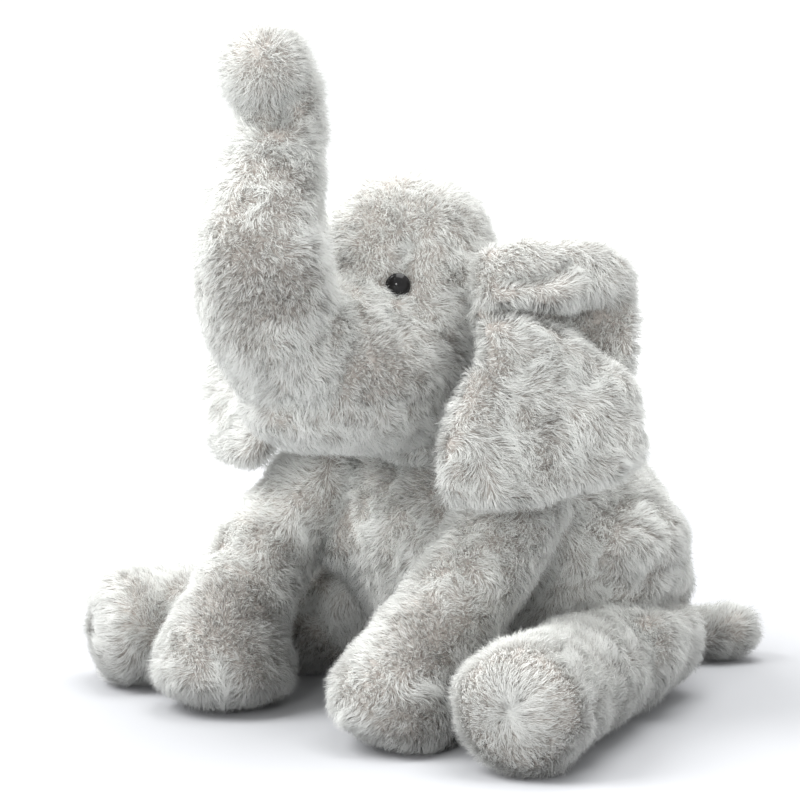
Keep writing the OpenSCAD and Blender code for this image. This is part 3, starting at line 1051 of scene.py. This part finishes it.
def sewn_nodes(key):
    """The CAD cloth that a skin and its pile stand for."""
    if key == "body":
        return ["body_panel_left", "body_panel_right", "belly_panel", "seat_panel"]
    if key == "head":
        return ["head_panel_left", "head_panel_right", "head_gusset", "chin_panel"]
    if key == "trunk_tip":
        return ["trunk_tip_skin", "trunk_tip_panel"]
    kind, _, end = key.rpartition("_")
    if kind == "ear":
        return ["ear_front_" + end, "ear_back_" + end]
    if kind:
        return [kind + "_skin_" + end, kind.replace("leg", "sole") + "_" + end]
    return [key + "_skin"]


def filling_node(key):
    """The CAD filling of a skin; the ears have none."""
    kind, _, end = key.rpartition("_")
    if kind == "ear":
        return None
    return kind + "_filling_" + end if end in ("left", "right") else key + "_filling"


def finish_piece(key, skin, pile):
    skin.data.materials.clear()
    skin.data.materials.append(BACK)
    skin.data.shade_smooth()
    pile.data.materials.append(PILE)
    for obj in (skin, pile):
        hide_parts(*sewn_nodes(key))


def join_over(pieces):
    for o in pieces:
        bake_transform(o)


def add_wadding(key, skin):
    """The filling of a skin: the same form, a little inside it."""
    obj = skin.copy()
    obj.data = skin.data.copy()
    obj.name = skin.name.replace("plush", "wadding")
    bpy.context.scene.collection.objects.link(obj)
    push(obj, lambda p: np.full(len(p), -WADDING_GAP))
    m = obj.modifiers.new("ease", "SMOOTH")
    m.factor = 0.5
    m.iterations = 4
    baked(obj)
    obj.data.materials.clear()
    obj.data.materials.append(WADDING)
    obj.data.shade_smooth()
    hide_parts(filling_node(key))
    return obj


def make_pouch():
    """The bag of pellets in the seat."""
    low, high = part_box("pellet_pouch")
    middle, half = (low + high) / 2 / MM, (high - low) / 2 / MM
    pouch = merged("pellet_pouch_bag", [ball("pellet_pouch_bag", middle, half * 0.94)], voxel=3.5, smooth=2)
    inflate(pouch, pressure=2, cap=1.5)
    lumps(pouch, seed=31, size=16, height=1.2)
    pouch.data.materials.clear()
    pouch.data.materials.append(pouch_material())
    pouch.data.shade_smooth()
    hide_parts("pellet_pouch")
    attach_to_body(pouch, "body")


def repaint(node, finish):
    """A new finish on a carried-over CAD node."""
    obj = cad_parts[node]
    obj.data.materials.clear()
    obj.data.materials.append(finish)


def attach(sets):
    """Carries the body's pieces with the body; the other pieces only have their placing put into their
    meshes.
    """
    for piece in sets["body"]:
        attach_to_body(piece, "body")
    join_over(sets["head"])
    join_over(sets["trunk"])
    join_over(sets["trunk_tip"])
    join_over(sets["tail"])
    for s in (LEFT, RIGHT):
        front, hind, ear = "front_leg_" + side(s), "hind_leg_" + side(s), "ear_" + side(s)
        for key, path in ((front, FRONT_LEG[s]), (hind, HIND_LEG[s])):
            join_over(sets[key])
        join_over(sets[ear])


BACK = backing_material()
PILE = pile_material()
WADDING = wadding_material()
EYE_FINISH = eye_material()
WASHER_FINISH = washer_material()


def make_elephant():
    for s in (LEFT, RIGHT):
        repaint("eye_" + side(s), EYE_FINISH)
        repaint("eye_washer_" + side(s), WASHER_FINISH)
    skins = make_skins()
    piles = grow_piles(skins)
    sets = {}
    for key, skin in skins.items():
        finish_piece(key, skin, piles[key])
        sets[key] = [skin, piles[key]]
        if filling_node(key):
            sets[key].append(add_wadding(key, skin))
    make_pouch()
    attach(sets)


make_elephant()

# ---- Camera, floor and light, in metres ----
TARGET = Vector((0, -0.05, 0.158))
AZIMUTH, ELEVATION = math.radians(41), math.radians(8)
DISTANCE = 1.7
SENSOR = 36  # millimetres
VIEW_WIDTH = 0.8 / 2.017  # the width of the picture at the target
# Name, place, aim, size and power of each lamp
LAMPS = [
    ("key", (-0.9, -1.5, 1.9), (0, -0.05, 0.15), 1.5, 88),
    ("top", (0.3, 0.2, 2.2), (0, 0, 0.1), 1.6, 48),
    ("front", (0.7, -1.5, 0.6), (0, -0.05, 0.2), 0.32, 8.5),
]
SKY = 1.06
FLOOR_SIZE = 60
# The floor's brightness by distance from the middle: the lamps lose strength outwards
FLOOR_TONES = [(0.0, 0.39), (0.35, 0.41), (0.65, 0.48), (1.0, 0.57), (2.0, 0.8), (4.0, 0.97), (8.0, 1.0)]
SHADOW_BLUE_BELOW = 0.55  # floor tones below this, near the elephant, are a little bluer: a painted bluish tint of its shadow


def make_camera():
    back = Vector((math.sin(AZIMUTH) * math.cos(ELEVATION), -math.cos(AZIMUTH) * math.cos(ELEVATION),
                   math.sin(ELEVATION)))
    camera = bpy.data.objects.new("camera", bpy.data.cameras.new("camera"))
    bpy.context.scene.collection.objects.link(camera)
    camera.location = TARGET + back * DISTANCE
    camera.rotation_euler = (-back).to_track_quat("-Z", "Y").to_euler()
    camera.data.sensor_width = SENSOR
    camera.data.lens = SENSOR * DISTANCE / VIEW_WIDTH
    bpy.context.scene.camera = camera


def area_light(name, place, aim, size, power):
    data = bpy.data.lights.new(name, "AREA")
    data.shape = "SQUARE"
    data.size = size
    data.energy = power
    lamp = bpy.data.objects.new(name, data)
    lamp.location = place
    lamp.rotation_euler = (Vector(aim) - Vector(place)).to_track_quat("-Z", "Y").to_euler()
    bpy.context.scene.collection.objects.link(lamp)


def floor_material():
    """Plain pale paper, evenly bright out to the edge of the lamps' pool, tinted a little blue near the
    middle as painted shadow colour.
    """
    m, tree, shader = material("pale_floor", (0.5, 0.5, 0.5), 0.8)
    shader.inputs["Specular IOR Level"].default_value = 0.1
    gap = tree.nodes.new("ShaderNodeVectorMath")
    gap.operation = "LENGTH"
    tree.links.new(object_space(tree), gap.inputs[0])
    edge = FLOOR_TONES[-1][0]
    share = tree.nodes.new("ShaderNodeMapRange")
    share.inputs["From Max"].default_value = edge
    tree.links.new(gap.outputs["Value"], share.inputs["Value"])
    stops = []
    for reach, tone in FLOOR_TONES:
        # Painted shadow colour: the floor near the elephant is tinted blue.
        blue = 1.035 if tone < SHADOW_BLUE_BELOW else 1.0
        stops.append((reach / edge, (tone * 0.985, tone, tone * blue)))
    tree.links.new(graded(tree, share.outputs["Result"], stops), shader.inputs["Base Color"])
    return m


def make_stage():
    bpy.ops.mesh.primitive_plane_add(size=FLOOR_SIZE)
    floor = bpy.context.object
    floor.name = "floor"
    floor.data.materials.append(floor_material())
    world = bpy.data.worlds.new("studio")
    world.use_nodes = True
    sky = world.node_tree.nodes["Background"]
    sky.inputs["Color"].default_value = (1, 1, 1, 1)
    sky.inputs["Strength"].default_value = SKY
    bpy.context.scene.world = world
    for lamp in LAMPS:
        area_light(*lamp)


make_camera()
make_stage()
bpy.context.scene.view_settings.view_transform = "Standard"
